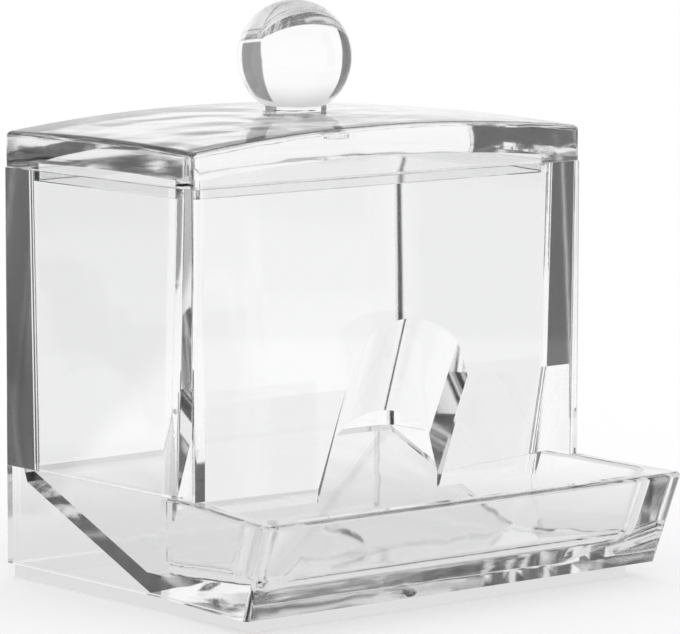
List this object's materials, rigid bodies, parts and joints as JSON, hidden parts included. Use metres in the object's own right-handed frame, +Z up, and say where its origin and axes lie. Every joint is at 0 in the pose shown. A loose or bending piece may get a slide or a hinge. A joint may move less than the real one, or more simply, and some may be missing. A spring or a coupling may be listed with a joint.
{
  "type": "cotton swab holder",
  "caption": "Clear lidded box for cotton swabs with a ball knob, an arched finger notch and a sloped floor that feeds an open front tray.",
  "frame": {"origin": "Centre of the footprint, on the surface the holder stands on.", "axes": "X runs across the front, +X to the right seen from the front. Y runs front to back, with the tray and notch towards -Y. Z is up."},
  "size_m": [0.0926, 0.0764, 0.1004],
  "materials": {
    "clear_acrylic": "polished, colourless, transparent"
  },
  "bodies": {
    "holder": {"base_tray": "clear_acrylic", "swab_box": "clear_acrylic"},
    "lid": {"lid": "clear_acrylic", "lid_knob": "clear_acrylic"}
  },
  "joints": [
    {"name": "lid_lift", "type": "slide", "parent": "holder", "child": "lid", "axis": [0, 0, 1], "range_m": [0, 0.03]}
  ]
}
